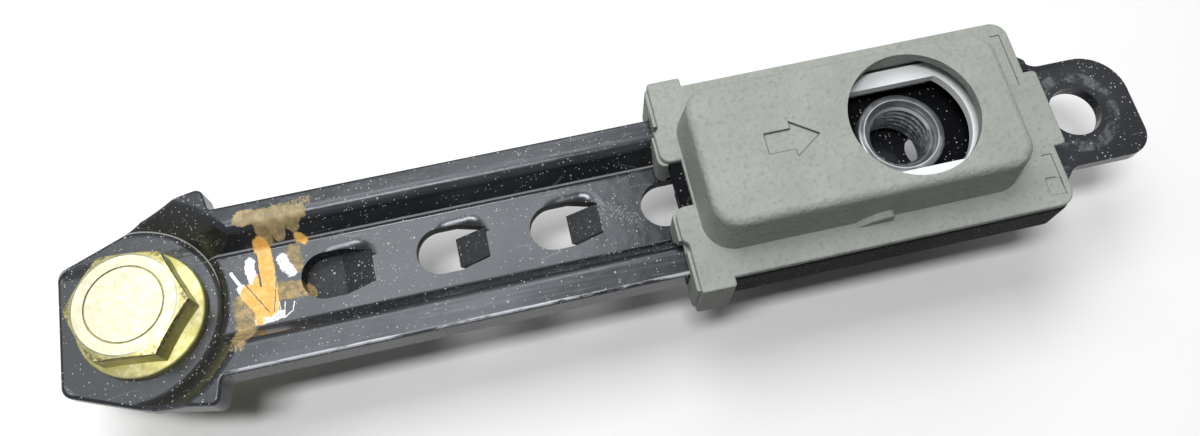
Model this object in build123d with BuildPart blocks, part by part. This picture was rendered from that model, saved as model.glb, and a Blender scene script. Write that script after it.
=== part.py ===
import os
from math import hypot, radians, tan

from build123d import *

os.makedirs("parts", exist_ok=True)

# x runs up the rail from the lower bolt's axis, y = 0 is the rail's centre line,
# and z = 0 is the face of the pillar that the adjuster is bolted to.

# Rail: one pressed steel strip, a flat web between two ribs with turned-down edges.
SHEET = 2.2
WEB_TOP = 4.2
WEB_HALF = 6.8
RIB_CREST_Y = 9.4
RIB_CREST_Z = 8.4
RIB_FALL = 0.083
RAIL_HALF = 14.25
FLANGE_BOTTOM = 2.8
RIB_END_X = 155.0
BELOW = -5.0
ABOVE = 15.0

# Lower pad: a round seat pressed about a centre just left of the bolt.
PAD_LEFT = -13.7
PAD_TOP = 3.0
SEAT_X = -1.9
SEAT_R = 14.6
SEAT_RIM_R = 20.3
PAD_SLOT_LONG = 15.8
PAD_SLOT_WIDE = 12.0
EAR_HALF = 18.6
EAR_X = 12.4

# Upper tab, raised above the web by a joggle that the carriage hides.
TAB_TOP = 7.2
TAB_HALF = 9.7
TAB_RIGHT = 171.1
TAB_HOLE_X = 160.6
TAB_HOLE_R = 4.5
JOGGLE_X = 146.0
JOGGLE_RUN = 7.0
JOGGLE_HALF = 9.0

# Lock windows: round at the lower end, with a ramp tongue at the upper end.
PITCH = 19.2
WINDOW_X = 26.3
WINDOW_COUNT = 5
WINDOW_R = 4.05
WINDOW_STRAIGHT = 7.2
HINGE_RUN = 12.0
HINGE_HALF = 2.75
TONGUE_HALF = 2.55
TONGUE_RUN = 6.6
TONGUE_DROP = 3.0
TONGUE_THICK = 1.9
POCKET_WALL = 1.5
SIGHT_HOLE_X = 134.0
SIGHT_HOLE_R = 3.2

# Lower bolt: 7/16 inch flange bolt with a 17 mm hexagon.
BOLT_R = 5.5
BOLT_SHOULDER_R = 5.8
BOLT_END = -16.8
BOLT_FLANGE_R = 10.6
HEX_FLATS = 17.0
HEX_TOP = 10.2
HEX_TURN = -5.5
BOLT_RING_R = 6.25

# Carriage: steel bracket, threaded anchor, cover and liners.
BRACKET_LEFT = 94.4
BRACKET_NOSE = 89.3
NOSE_PLATE_HALF = 11.0
BRACKET_RIGHT = 151.8
BRACKET_HALF = 17.05
PLATE_LOW = 9.2
PLATE_TOP = 11.1
WALL_IN = 15.05
LIP_IN = 12.4
LIP_TOP = 2.5
BRACKET_BOTTOM = 0.8
NUT_X = 127.3
THREAD_R = 4.93
NUT_R = 7.15
NUT_TOP = 13.7
NUT_SHOULDER_Z = 7.4
NUT_BOTTOM = 5.0
NUT_FOOT_R = 6.2
NUT_SHOULDER_R = 7.8
COUNTERBORE_R = 5.9

# Cover: a thin flange with a raised, hollow block and two wings.
FLANGE_TOP = 12.2
COVER_HALF = 17.25
COVER_RIGHT = 151.8
TONGUE_END = 153.9
COVER_TONGUE_HALF = 7.0
COVER_LIP = 1.3
WING_LEFT = 88.9
WING_RIGHT = 94.6
WING_IN = 4.0
BULGE_LEFT = 88.0
BULGE_HALF = 9.5
WING_HALF = 18.8
SKIRT_THICK = 0.65
GAP_EDGE = 91.3
BLOCK_LEFT = 91.6
BLOCK_RIGHT = 144.9
BLOCK_HALF = 12.9
BLOCK_TOP = 21.0
BLOCK_DRAFT = 6.4
BLOCK_CORNER_R = 5.2
COVER_WALL = 1.6
WINDOW_OPEN_R = 10.5

# Lock: a plunger that falls into a window, lifted by the slide's wedges.
LATCH_X = 107.15
LATCH_R = 3.4
LATCH_RIGHT = 108.9
NOSE_X = 106.3
NOSE_R = 2.1
NOSE_RIGHT = 107.6
LATCH_NOSE_Z = 4.9
LATCH_STEP_Z = 7.5
BAR_LEFT = 103.6
BAR_RIGHT = 108.6
LATCH_TOP = 16.8
SHOULDER_Z = 14.15
SHOULDER_HALF = 7.0
BAR_RAMP = 2.0
NOSE_BEVEL = 1.2
LATCH_PLAY = 0.1
SPRING_X = 106.3
POCKET_R = 2.0
POCKET_FLOOR = 9.8
SPIGOT_R = 1.2
SPIGOT_LONG = 2.2
SLIDE_LOW = 15.1
SLIDE_TOP = 16.7
SLIDE_HALF = 10.3
SLIDE_SLOT_HALF = 7.6
SLIDE_RIGHT = 139.6
GAP = 0.05


def corner(sketch, x, y):
    return sketch.vertices().sort_by_distance(Vector(x, y))[0]


def save(builder, name):
    builder.part.label = name
    export_step(builder.part, f"parts/{name}.step")


def rib_top(y):
    return RIB_CREST_Z - RIB_FALL * (y - RIB_CREST_Y)


# Rail: the filled hat section gives the outer skin, and the same forms moved
# down by the sheet's thickness give the hollow under it.
WIDE = 21.0
PAD_UNDER = PAD_TOP - SHEET
RIB_HEIGHT = RIB_CREST_Z - WEB_TOP
WALL_RUN = (RIB_CREST_Y - WEB_HALF) / RIB_HEIGHT
WALL_ACROSS = SHEET * hypot(1.0, WALL_RUN)
HOLLOW_TOP = RIB_CREST_Z - SHEET - RIB_FALL
WEB_UNDER = WEB_TOP - SHEET
SEAT_SLOPE = (RIB_CREST_Z - PAD_TOP) / (SEAT_RIM_R - SEAT_R)
SEAT_ACROSS = SHEET * (hypot(1.0, SEAT_SLOPE) - 1.0) / SEAT_SLOPE
TAB_UNDER = TAB_TOP - SHEET

# The outline in plan: pad, ears round the bolt, straight sides and the tab.
outline_upper = [
    (PAD_LEFT, 10.6),
    (1.0, 16.4),
    (EAR_X, EAR_HALF),
    (EAR_X + 1.0, RAIL_HALF),
    (RIB_END_X - 3.0, RAIL_HALF),
    (RIB_END_X + 1.5, TAB_HALF),
    (TAB_RIGHT, TAB_HALF),
]
outline_points = outline_upper + [(x, -y) for x, y in reversed(outline_upper)]
outline_radii = [2.5, 1.5, 1.3, 1.0, 2.0, 3.0, 7.5]
NEAR_TAB_RADIUS = 4.2

with BuildSketch() as outline:
    with BuildLine():
        Polyline(*outline_points, close=True)
    make_face()
    for (x, y), radius in zip(outline_upper, outline_radii):
        fillet(corner(outline, x, y), radius)
        near_radius = NEAR_TAB_RADIUS if x == TAB_RIGHT else radius
        fillet(corner(outline, x, -y), near_radius)

# Everything under the sheet: below the hat's skin and below the round seat.
with BuildPart() as hollow:
    with BuildSketch(Plane.YZ.offset(PAD_LEFT - 5)):
        hollow_in = WEB_HALF + WALL_ACROSS - SHEET * WALL_RUN
        hollow_out = WEB_HALF + WALL_ACROSS + (HOLLOW_TOP - WEB_TOP) * WALL_RUN
        half_section = [
            (hollow_in, WEB_UNDER),
            (hollow_out, HOLLOW_TOP),
            (WIDE, rib_top(WIDE) - SHEET),
            (WIDE, BELOW),
        ]
        with BuildLine():
            Polyline(*half_section, *[(-y, z) for y, z in reversed(half_section)], close=True)
        make_face()
    extrude(amount=RIB_END_X - PAD_LEFT + 5)
    with BuildSketch(Plane.XY.offset(BELOW)):
        add(outline.sketch)
        offset(amount=-SHEET)
    extrude(amount=20, mode=Mode.INTERSECT)
    with BuildSketch(Plane((SEAT_X, 0, 0), x_dir=(1, 0, 0), z_dir=(0, -1, 0))):
        with BuildLine():
            Polyline(
                (0, BELOW),
                (0, PAD_UNDER),
                (SEAT_R + SEAT_ACROSS, PAD_UNDER),
                (SEAT_RIM_R + SEAT_ACROSS + 3, RIB_CREST_Z - SHEET + 3 * SEAT_SLOPE),
                (200, ABOVE),
                (200, BELOW),
                close=True,
            )
        make_face()
    revolve(axis=Axis((SEAT_X, 0, 0), (0, 0, 1)), mode=Mode.INTERSECT)

# What lies below the flanges' edges, outside the web.
with BuildPart() as below_flanges:
    with BuildSketch(Plane.XY.offset(BELOW)):
        with GridLocations(0, 2 * hollow_in + 16, 1, 2):
            with Locations((80, 0)):
                Rectangle(170, 16)
    extrude(amount=FLANGE_BOTTOM - BELOW)
    with BuildSketch(Plane((SEAT_X, 0, 0), x_dir=(1, 0, 0), z_dir=(0, -1, 0))):
        with BuildLine():
            Polyline(
                (0, BELOW),
                (0, PAD_UNDER),
                (SEAT_R + SEAT_ACROSS, PAD_UNDER),
                (SEAT_RIM_R + SEAT_ACROSS, RIB_CREST_Z - SHEET),
                (200, RIB_CREST_Z),
                (200, BELOW),
                close=True,
            )
        make_face()
    revolve(axis=Axis((SEAT_X, 0, 0), (0, 0, 1)), mode=Mode.INTERSECT)


def window_outline(left, grow=0.0):
    half = WINDOW_R + grow
    hinge_half = HINGE_HALF + grow
    with BuildSketch() as window:
        with BuildLine():
            ThreePointArc((left + WINDOW_R, half), (left - grow, 0), (left + WINDOW_R, -half))
            Polyline(
                (left + WINDOW_R, -half),
                (left + WINDOW_STRAIGHT, -half),
                (left + HINGE_RUN + grow, -hinge_half),
                (left + HINGE_RUN + grow, hinge_half),
                (left + WINDOW_STRAIGHT, half),
                (left + WINDOW_R, half),
            )
        make_face()
    return window.sketch


def ramp_points(left):
    slope = TONGUE_DROP / (HINGE_RUN - TONGUE_RUN)
    return [
        (left + TONGUE_RUN, WEB_TOP - TONGUE_DROP),
        (left + HINGE_RUN, WEB_TOP),
        (left + HINGE_RUN + 2, WEB_TOP + 2 * slope),
    ]


# The lowest window is pressed but not pierced: a blind pocket with a ramp floor.
with BuildPart() as pocket_shell:
    pocket_bottom = WEB_TOP - TONGUE_DROP - POCKET_WALL
    with BuildSketch(Plane.XY.offset(pocket_bottom)):
        add(window_outline(WINDOW_X, POCKET_WALL))
    extrude(amount=TONGUE_DROP + POCKET_WALL - 0.5)
    with BuildSketch(Plane.XZ.offset(-8)):
        with BuildLine():
            Polyline(
                (WINDOW_X + TONGUE_RUN + 0.8, pocket_bottom),
                (WINDOW_X + HINGE_RUN + 0.8, WEB_UNDER + 0.3),
                (WINDOW_X + HINGE_RUN + 4, WEB_UNDER + 0.3),
                (WINDOW_X + HINGE_RUN + 4, BELOW),
                (WINDOW_X + TONGUE_RUN + 0.8, BELOW),
                close=True,
            )
        make_face()
    extrude(amount=16, mode=Mode.SUBTRACT)

with BuildPart() as pocket_void:
    with BuildSketch(Plane.XY.offset(WEB_TOP - TONGUE_DROP)):
        add(window_outline(WINDOW_X))
    extrude(amount=TONGUE_DROP + 1)
    with BuildSketch(Plane.XZ.offset(-8)):
        with BuildLine():
            Polyline(
                *ramp_points(WINDOW_X),
                (WINDOW_X + HINGE_RUN + 2, BELOW),
                (WINDOW_X + TONGUE_RUN, BELOW),
                close=True,
            )
        make_face()
    extrude(amount=16, mode=Mode.SUBTRACT)

with BuildPart() as rail:
    with BuildSketch(Plane.YZ.offset(PAD_LEFT - 2)) as hat:
        half_section = [
            (WEB_HALF, WEB_TOP),
            (RIB_CREST_Y, RIB_CREST_Z),
            (WIDE, rib_top(WIDE)),
            (WIDE, PAD_UNDER),
        ]
        with BuildLine():
            Polyline(*half_section, *[(-y, z) for y, z in reversed(half_section)], close=True)
        make_face()
        for side in (1, -1):
            fillet(corner(hat, side * WEB_HALF, WEB_TOP), 1.0)
            fillet(corner(hat, side * RIB_CREST_Y, RIB_CREST_Z), 1.6)
    extrude(amount=RIB_END_X - PAD_LEFT + 2)
    with BuildSketch(Plane.XY.offset(BELOW)):
        add(outline.sketch)
    extrude(amount=20, mode=Mode.INTERSECT)
    with BuildSketch(Plane((SEAT_X, 0, 0), x_dir=(1, 0, 0), z_dir=(0, -1, 0))) as seat_profile:
        with BuildLine():
            Polyline(
                (0, PAD_TOP),
                (SEAT_R, PAD_TOP),
                (SEAT_RIM_R + 2, RIB_CREST_Z + 2 * SEAT_SLOPE),
                (0, RIB_CREST_Z + 2 * SEAT_SLOPE),
                close=True,
            )
        make_face()
        fillet(corner(seat_profile, SEAT_R, PAD_TOP), 1.5)
    revolve(axis=Axis((SEAT_X, 0, 0), (0, 0, 1)), mode=Mode.SUBTRACT)
    # The ears roll over into the seat as softly as the ribs do into the trough.
    seat_rims = rail.edges().filter_by(GeomType.ELLIPSE).filter_by_position(Axis.Z, 7.9, 8.05)
    fillet(seat_rims.sort_by(SortBy.LENGTH)[-2:], 1.6)
    edge_z = rib_top(RAIL_HALF)
    long_edges = rail.edges().filter_by(Axis.X)
    fillet(long_edges.filter_by_position(Axis.Z, edge_z - 0.1, edge_z + 0.1), 0.6)
    add(hollow.part, mode=Mode.SUBTRACT)
    add(below_flanges.part, mode=Mode.SUBTRACT)
    # The web steps up at the joggle, and the tab's sheet goes on from there.
    with BuildSketch(Plane.XZ.offset(-JOGGLE_HALF)):
        with BuildLine():
            Polyline(
                (JOGGLE_X, WEB_TOP),
                (JOGGLE_X + JOGGLE_RUN, TAB_TOP),
                (RIB_END_X + 1, TAB_TOP),
                (RIB_END_X + 1, WEB_TOP - 1),
                (JOGGLE_X, WEB_TOP - 1),
                close=True,
            )
        make_face()
    extrude(amount=2 * JOGGLE_HALF)
    with BuildSketch(Plane.XY.offset(TAB_UNDER)):
        with Locations(((RIB_END_X + TAB_RIGHT) / 2, 0)):
            Rectangle(TAB_RIGHT - RIB_END_X, 2 * TAB_HALF + 4)
    extrude(amount=SHEET)
    with BuildSketch(Plane.XZ.offset(-WEB_HALF - 0.8)):
        with BuildLine():
            Polyline(
                (JOGGLE_X + 0.5, BELOW),
                (JOGGLE_X + 0.5, WEB_UNDER),
                (JOGGLE_X + JOGGLE_RUN + 0.5, TAB_UNDER),
                (RIB_END_X + 3, TAB_UNDER),
                (RIB_END_X + 3, BELOW),
                close=True,
            )
        make_face()
    extrude(amount=2 * WEB_HALF + 1.6, mode=Mode.SUBTRACT)
    with BuildSketch(Plane.XY.offset(BELOW)):
        add(outline.sketch)
    extrude(amount=20, mode=Mode.INTERSECT)
    # Windows, their ramp tongues and the blind pocket.
    with BuildSketch(Plane.XY.offset(WEB_TOP + 1)):
        for step in range(1, WINDOW_COUNT):
            add(window_outline(WINDOW_X + step * PITCH))
    extrude(amount=-SHEET - 2, mode=Mode.SUBTRACT)
    with BuildSketch(Plane.XZ.offset(-TONGUE_HALF)):
        for step in range(1, WINDOW_COUNT):
            hinge = WINDOW_X + step * PITCH + HINGE_RUN
            free = WINDOW_X + step * PITCH + TONGUE_RUN
            with BuildLine():
                Polyline(
                    (hinge, WEB_TOP),
                    (free, WEB_TOP - TONGUE_DROP),
                    (free + 0.9, WEB_TOP - TONGUE_DROP - TONGUE_THICK + 0.3),
                    (hinge + 0.6, WEB_UNDER),
                    (hinge + 0.6, WEB_TOP),
                    close=True,
                )
            make_face()
    extrude(amount=2 * TONGUE_HALF)
    add(pocket_shell.part)
    add(pocket_void.part, mode=Mode.SUBTRACT)
    # Fixing slot, tab hole and the sight hole under the anchor.
    with BuildSketch(Plane.XY.offset(PAD_TOP + 1)):
        with Locations((SEAT_X, 0)):
            SlotOverall(PAD_SLOT_LONG, PAD_SLOT_WIDE)
    extrude(amount=-6, mode=Mode.SUBTRACT)
    with Locations((TAB_HOLE_X, 0, TAB_TOP)):
        Hole(TAB_HOLE_R, depth=SHEET + 2)
    with Locations((SIGHT_HOLE_X, 0, WEB_TOP)):
        Hole(SIGHT_HOLE_R, depth=SHEET + 2)
save(rail, "rail")

# Lower bolt: domed flange, chamfered hexagon, ring groove and plain shank.
with BuildPart() as lower_bolt:
    with BuildSketch(Plane.XY.offset(PAD_TOP + GAP)):
        RegularPolygon(HEX_FLATS / 2, 6, major_radius=False, rotation=HEX_TURN)
    extrude(amount=HEX_TOP - PAD_TOP - GAP)
    with BuildSketch(Plane.XZ) as chamfer_profile:
        with BuildLine():
            Polyline(
                (0, PAD_TOP),
                (BOLT_FLANGE_R, PAD_TOP),
                (BOLT_FLANGE_R, HEX_TOP - 1.0),
                (HEX_FLATS / 2 - 0.35, HEX_TOP),
                (0, HEX_TOP),
                close=True,
            )
        make_face()
    revolve(axis=Axis.Z, mode=Mode.INTERSECT)
    with BuildSketch(Plane.XZ) as flange_profile:
        with BuildLine():
            Polyline(
                (0, PAD_TOP + GAP),
                (BOLT_FLANGE_R, PAD_TOP + GAP),
                (BOLT_FLANGE_R, PAD_TOP + 1.3),
                (HEX_FLATS / 2 - 0.5, PAD_TOP + 2.5),
                (0, PAD_TOP + 2.5),
                close=True,
            )
        make_face()
        fillet(corner(flange_profile, BOLT_FLANGE_R, PAD_TOP + 1.3), 0.5)
    revolve(axis=Axis.Z)
    with BuildSketch(Plane.XZ):
        with BuildLine():
            Polyline(
                (0, PAD_TOP + 1),
                (BOLT_SHOULDER_R, PAD_TOP + 1),
                (BOLT_SHOULDER_R, GAP),
                (BOLT_R, GAP),
                (BOLT_R, BOLT_END + 1.0),
                (BOLT_R - 1.0, BOLT_END),
                (0, BOLT_END),
                close=True,
            )
        make_face()
    revolve(axis=Axis.Z)
    with BuildSketch(Plane.XY.offset(HEX_TOP)):
        Circle(BOLT_RING_R + 0.15)
        Circle(BOLT_RING_R - 0.15, mode=Mode.SUBTRACT)
    extrude(amount=-0.2, mode=Mode.SUBTRACT)
save(lower_bolt, "lower_bolt")

# Retainer: a thin washer pressed on the bolt's shoulder, which keeps it in the pad.
RETAINER_R = 9.0
with BuildPart() as bolt_retainer:
    with BuildSketch(Plane.XY.offset(GAP)):
        Circle(RETAINER_R)
        Circle(BOLT_SHOULDER_R, mode=Mode.SUBTRACT)
    extrude(amount=PAD_UNDER - 2 * GAP)
    chamfer(bolt_retainer.edges().filter_by(GeomType.CIRCLE).sort_by(SortBy.RADIUS)[-2:], 0.2)
save(bolt_retainer, "bolt_retainer")


def plunger_outline(x, half, right):
    with BuildSketch() as outline_plan:
        with BuildLine():
            ThreePointArc((x, half), (x - half, 0), (x, -half))
            Polyline((x, -half), (right, -half), (right, half), (x, half))
        make_face()
    return outline_plan.sketch


CLIP_X = (92.3, 146.5)
CLIP_Y = 2.6
CLIP_THICK = 1.4
CLIP_WIDE = 2.4
CLIP_END = 8.1
CLIP_BARB = 0.6
CLIP_PLAY = 0.45

# Bracket: a steel channel whose lips close under the rail's flanges.
with BuildPart() as slider_bracket:
    with BuildSketch(Plane.YZ.offset(BRACKET_LEFT)) as channel:
        half_section = [
            (BRACKET_HALF, PLATE_TOP),
            (BRACKET_HALF, BRACKET_BOTTOM),
            (LIP_IN, BRACKET_BOTTOM),
            (LIP_IN, LIP_TOP),
            (WALL_IN, LIP_TOP),
            (WALL_IN, PLATE_LOW),
        ]
        with BuildLine():
            Polyline(*half_section, *[(-y, z) for y, z in reversed(half_section)], close=True)
        make_face()
        for side in (1, -1):
            fillet(corner(channel, side * BRACKET_HALF, PLATE_TOP), 2.3)
            fillet(corner(channel, side * BRACKET_HALF, BRACKET_BOTTOM), 1.6)
            fillet(corner(channel, side * WALL_IN, PLATE_LOW), 0.5)
    extrude(amount=BRACKET_RIGHT - BRACKET_LEFT)
    cross_edges = slider_bracket.edges().filter_by(Axis.Y)
    low_edges = cross_edges.filter_by_position(Axis.Z, BRACKET_BOTTOM - 0.1, BRACKET_BOTTOM + 0.1)
    fillet(low_edges.group_by(Axis.X)[-1], 1.5)
    with BuildSketch(Plane.XY.offset(PLATE_LOW)):
        with Locations(((BRACKET_NOSE + BRACKET_LEFT + 1) / 2, 0)):
            RectangleRounded(BRACKET_LEFT + 1 - BRACKET_NOSE, 2 * NOSE_PLATE_HALF, 1.5)
    extrude(amount=PLATE_TOP - PLATE_LOW)
    with BuildSketch(Plane.XY.offset(PLATE_TOP + 1)):
        add(plunger_outline(LATCH_X, LATCH_R + LATCH_PLAY, LATCH_RIGHT + LATCH_PLAY))
        with Locations((NUT_X, 0)):
            Circle(NUT_R + 0.02)
        for x in CLIP_X:
            with GridLocations(0, 2 * CLIP_Y, 1, 2):
                with Locations((x, 0)):
                    Rectangle(CLIP_THICK + CLIP_PLAY, CLIP_WIDE + CLIP_PLAY)
    extrude(amount=-PLATE_TOP, mode=Mode.SUBTRACT)
save(slider_bracket, "slider_bracket")

# Anchor nut: its shoulder bears under the plate and takes the belt's pull.
with BuildPart() as anchor_nut:
    with BuildSketch(Plane((NUT_X, 0, 0), x_dir=(1, 0, 0), z_dir=(0, -1, 0))) as nut_profile:
        with BuildLine():
            Polyline(
                (THREAD_R, NUT_BOTTOM + 0.4),
                (THREAD_R + 0.4, NUT_BOTTOM),
                (NUT_FOOT_R, NUT_BOTTOM),
                (NUT_FOOT_R, NUT_SHOULDER_Z),
                (NUT_SHOULDER_R, NUT_SHOULDER_Z),
                (NUT_SHOULDER_R, PLATE_LOW - GAP),
                (NUT_R, PLATE_LOW - GAP),
                (NUT_R, NUT_TOP),
                (COUNTERBORE_R + 0.1, NUT_TOP),
                (COUNTERBORE_R, NUT_TOP - 1.0),
                (THREAD_R + 0.5, NUT_TOP - 1.0),
                (THREAD_R, NUT_TOP - 1.5),
                close=True,
            )
        make_face()
        fillet(corner(nut_profile, NUT_R, NUT_TOP), 0.5)
    revolve(axis=Axis((NUT_X, 0, 0), (0, 0, 1)))
save(anchor_nut, "anchor_nut")

# Liners: thin plastic channels on the rail's flanges, with a thick end shoe
# whose rounded nub hangs into the trough.
SHOE_LEFT = 88.4
NUB_LEFT = 87.6
NUB_IN = 3.9
NUB_LOW = 4.6
HOOK_BOTTOM = 1.1
with BuildPart() as guide_liner_far:
    with BuildSketch(Plane.YZ.offset(SHOE_LEFT)) as shoe:
        with BuildLine():
            Polyline(
                (NUB_IN, PLATE_LOW - GAP),
                (NUB_IN, NUB_LOW),
                (WEB_HALF + 0.1, NUB_LOW),
                (RIB_CREST_Y - 0.4, RIB_CREST_Z),
                (RIB_CREST_Y - 0.1, RIB_CREST_Z + 0.2),
                (RAIL_HALF + 0.2, RIB_CREST_Z + 0.1),
                (RAIL_HALF + 0.2, FLANGE_BOTTOM - 0.2),
                (LIP_IN + 0.3, FLANGE_BOTTOM - 0.2),
                (LIP_IN + 0.3, HOOK_BOTTOM),
                (WING_HALF - 0.7, HOOK_BOTTOM),
                (WING_HALF - 0.7, PLATE_TOP - GAP),
                (NOSE_PLATE_HALF + 0.2, PLATE_TOP - GAP),
                (NOSE_PLATE_HALF + 0.2, PLATE_LOW - GAP),
                close=True,
            )
        make_face()
        fillet(corner(shoe, NUB_IN, NUB_LOW), 1.2)
        fillet(corner(shoe, WEB_HALF + 0.1, NUB_LOW), 0.6)
        fillet(corner(shoe, WING_HALF - 0.7, HOOK_BOTTOM), 1.2)
    extrude(amount=BRACKET_LEFT - GAP - SHOE_LEFT)
    shoe_end = guide_liner_far.faces().sort_by(Axis.X)[0]
    fillet(shoe_end.edges().filter_by_position(Axis.Y, 15.2, 20), 0.5)
    with BuildSketch(Plane.YZ.offset(NUB_LEFT)):
        with BuildLine():
            Polyline(
                (NUB_IN, PLATE_TOP - GAP),
                (NUB_IN, NUB_LOW),
                (WEB_HALF + 0.1, NUB_LOW),
                (RIB_CREST_Y - 0.4, RIB_CREST_Z),
                (RIB_CREST_Y - 0.1, RIB_CREST_Z + 0.2),
                (RIB_CREST_Y - 0.1, PLATE_TOP - GAP),
                close=True,
            )
        make_face()
    extrude(amount=BRACKET_NOSE - 2 * GAP - NUB_LEFT)
    nub_end = guide_liner_far.faces().sort_by(Axis.X)[0]
    fillet(nub_end.edges().filter_by(Axis.Z).sort_by(Axis.Y)[0], 1.3)
    with BuildSketch(Plane.YZ.offset(BRACKET_LEFT - 1)) as channel_liner:
        with BuildLine():
            Polyline(
                (WALL_IN - 0.1, FLANGE_BOTTOM - 0.1),
                (WALL_IN - 0.1, PLATE_LOW - GAP),
                (8.6, PLATE_LOW - GAP),
                (8.6, RIB_CREST_Z + 0.2),
                (RIB_CREST_Y - 0.1, RIB_CREST_Z + 0.2),
                (RAIL_HALF + 0.2, RIB_CREST_Z + 0.1),
                (RAIL_HALF + 0.2, FLANGE_BOTTOM - 0.1),
                close=True,
            )
        make_face()
        fillet(corner(channel_liner, WALL_IN - 0.1, PLATE_LOW - GAP), 0.5)
    extrude(amount=BRACKET_RIGHT - BRACKET_LEFT + 1)
save(guide_liner_far, "guide_liner_far")

with BuildPart() as guide_liner_near:
    add(mirror(guide_liner_far.part, about=Plane.XZ))
save(guide_liner_near, "guide_liner_near")

# Cover: hollow block on a flange, wings that clasp the shoes, window and arrow.
ROOF_UNDER = BLOCK_TOP - COVER_WALL
BLOCK_MID = (BLOCK_LEFT + BLOCK_RIGHT) / 2
BLOCK_LENGTH = BLOCK_RIGHT - BLOCK_LEFT
SHIFT = tan(radians(BLOCK_DRAFT)) * (FLANGE_TOP - PLATE_TOP)
BOSS_LEFT = 115.5
BOSS_RIGHT = 121.6
BOSS_FRONT = 13.8
BOSS_BACK = 12.0
BOSS_HIGH = 2.3
GUIDE_LEFT = 96.0
GUIDE_RIGHT = 115.0
GUIDE_Y = 9.2
GUIDE_THICK = 1.2
ARROW_LEFT = 103.2
ARROW_NECK = 107.5
ARROW_POINT = 111.8
ARROW_SHAFT_HALF = 1.75
ARROW_HEAD_HALF = 3.0
ARROW_DEEP = 0.35
SHUT_LINE_WIDE = 0.25
SHUT_LINE_DEEP = 0.3

# The boss on the block's near wall swells from nothing to a blunt right end.
with BuildPart() as boss:
    with BuildSketch(Plane.XZ.offset(BOSS_FRONT)) as boss_profile:
        with BuildLine():
            ThreePointArc(
                (BOSS_LEFT, FLANGE_TOP - 0.2),
                (BOSS_LEFT + 2.7, FLANGE_TOP + 1.75),
                (BOSS_RIGHT, FLANGE_TOP + BOSS_HIGH),
            )
            Polyline(
                (BOSS_RIGHT, FLANGE_TOP + BOSS_HIGH),
                (BOSS_RIGHT, FLANGE_TOP - 0.2),
                (BOSS_LEFT, FLANGE_TOP - 0.2),
            )
        make_face()
        fillet(corner(boss_profile, BOSS_RIGHT, FLANGE_TOP + BOSS_HIGH), 0.9)
    extrude(amount=BOSS_BACK - BOSS_FRONT)
    front_edges = boss.edges().filter_by_position(Axis.Y, -BOSS_FRONT - 0.01, -BOSS_FRONT + 0.01)
    fillet(front_edges.filter_by_position(Axis.Z, FLANGE_TOP + 0.1, ABOVE), 0.35)

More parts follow.
